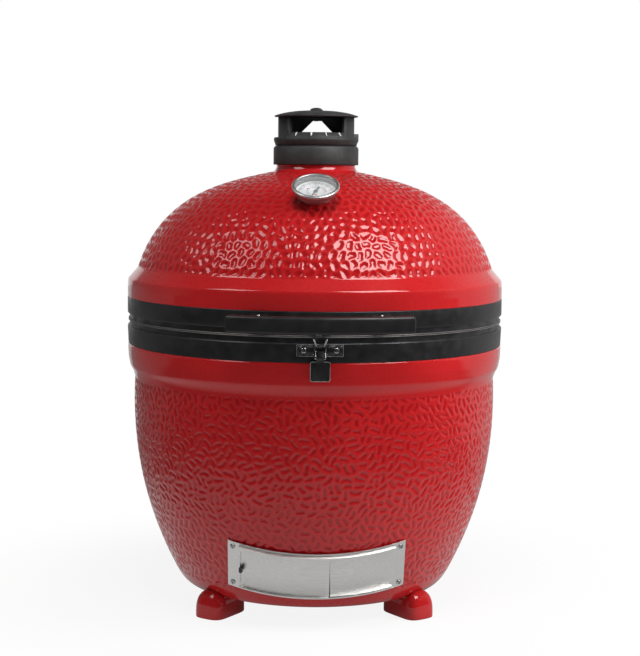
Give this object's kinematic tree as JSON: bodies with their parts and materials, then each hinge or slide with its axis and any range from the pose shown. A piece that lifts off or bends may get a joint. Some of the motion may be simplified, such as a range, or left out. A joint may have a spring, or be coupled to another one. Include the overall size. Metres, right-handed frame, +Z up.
{
  "type": "kamado grill",
  "caption": "Freestanding egg-shaped ceramic charcoal grill with a hinged dimpled dome, steel bands, front latch and handle, sliding draft door, dial thermometer and turning top vent.",
  "frame": {"origin": "on the floor, on the vertical axis of the ceramic pot, at the centre of the ground plane of the three feet", "axes": "+Z is up along the pot's axis. The front, with the handle, latch, thermometer and draft door, faces -Y. The lid hinge is at +Y. +X is to the right of a person facing the front."},
  "size_m": [0.7, 0.8032, 0.922],
  "materials": {
    "red_glaze": "gloss",
    "black_powder_coat": "satin",
    "handle_black": "satin",
    "felt": "matte",
    "silicone": "matte",
    "refractory": "matte",
    "cast_iron": "matte",
    "stainless_wire": "satin",
    "brushed_stainless": "brushed",
    "fastener_steel": "satin",
    "spring_steel": "satin",
    "bronze_bush": "satin",
    "knob_black": "satin",
    "dial_white": "satin",
    "needle_black": "satin",
    "lens_glass": "gloss",
    "cast_aluminium": "textured black powder coat"
  },
  "bodies": {
    "base": {"base_shell": "red_glaze", "foot_front_left": "red_glaze", "foot_front_right": "red_glaze", "foot_rear": "red_glaze", "lower_band": "black_powder_coat", "lower_clamp_bolt": "fastener_steel", "lower_clamp_nut": "fastener_steel", "lower_gasket": "felt", "firebox": "refractory", "fire_ring": "refractory", "charcoal_grate": "cast_iron", "accessory_rack": "stainless_wire", "heat_deflector_left": "refractory", "heat_deflector_right": "refractory", "cooking_grate_left": "stainless_wire", "cooking_grate_right": "stainless_wire", "draft_frame": "brushed_stainless", "draft_frame_screws": "fastener_steel", "draft_panel": "brushed_stainless", "hinge_lower_bracket": "black_powder_coat", "hinge_lower_bolts": "fastener_steel", "hinge_pin": "fastener_steel", "hinge_pin_clips": "fastener_steel", "hinge_spring_left": "spring_steel", "hinge_spring_right": "spring_steel", "latch_plate": "black_powder_coat", "latch_screws": "fastener_steel", "latch_lever_pin": "fastener_steel"},
    "lid": {"hinge_bushes": "bronze_bush", "hinge_upper_bracket": "black_powder_coat", "hinge_upper_bolts": "fastener_steel", "upper_band": "black_powder_coat", "upper_clamp_bolt": "fastener_steel", "upper_clamp_nut": "fastener_steel", "upper_gasket": "felt", "dome_shell": "red_glaze", "handle_bar": "handle_black", "handle_brackets": "black_powder_coat", "handle_bolts": "fastener_steel", "latch_keeper": "black_powder_coat", "thermometer_case": "brushed_stainless", "thermometer_bezel": "brushed_stainless", "thermometer_dial": "dial_white", "thermometer_lens": "lens_glass", "thermometer_stem": "fastener_steel", "thermometer_nut": "fastener_steel", "thermometer_gasket": "silicone", "vent_gasket": "felt", "vent_collar": "cast_aluminium"},
    "vent_top": {"vent_rotor": "cast_aluminium", "vent_damper": "cast_aluminium", "vent_roof": "cast_aluminium", "vent_finial": "cast_aluminium"},
    "thermometer_needle": {"thermometer_pointer": "needle_black"},
    "draft_slider": {"draft_door": "brushed_stainless", "draft_door_knob": "knob_black"},
    "screen_slider": {"spark_screen": "brushed_stainless"},
    "latch_lever": {"latch_lever": "black_powder_coat", "latch_hook_pin": "fastener_steel"},
    "latch_hook": {"latch_hook": "fastener_steel"}
  },
  "joints": [
    {"name": "lid_hinge", "type": "hinge", "parent": "base", "child": "lid", "pos_m": [0, 0.392, 0.545], "axis": [-1, 0, 0], "range_deg": [0, 70], "deforming": ["hinge_spring_left", "hinge_spring_right"]},
    {"name": "vent_turn", "type": "hinge", "parent": "lid", "child": "vent_top", "pos_m": [0, 0, 0.86], "axis": [0, 0, 1], "range_deg": [0, 60]},
    {"name": "needle_sweep", "type": "hinge", "parent": "lid", "child": "thermometer_needle", "pos_m": [-0.00637, -0.22791, 0.7554], "axis": [-0.014, -0.4998, 0.866], "range_deg": [-290, 0]},
    {"name": "draft_slide", "type": "hinge", "parent": "base", "child": "draft_slider", "pos_m": [0, 0.00018, 0.23214], "axis": [0, -0.4147, 0.91], "range_deg": [0, 21]},
    {"name": "screen_slide", "type": "hinge", "parent": "base", "child": "screen_slider", "pos_m": [0, 0.00018, 0.23214], "axis": [0, -0.4147, 0.91], "range_deg": [0, 22]},
    {"name": "latch_swing", "type": "hinge", "parent": "base", "child": "latch_lever", "pos_m": [0, -0.3575, 0.503], "axis": [-1, 0, 0], "range_deg": [0, 110]},
    {"name": "hook_swing", "type": "hinge", "parent": "latch_lever", "child": "latch_hook", "pos_m": [0, -0.3625, 0.497], "axis": [-1, 0, 0], "range_deg": [-110, 0]}
  ],
  "couplings": [
    {"joint": "hook_swing", "follows": "latch_swing", "ratio": -1}
  ]
}
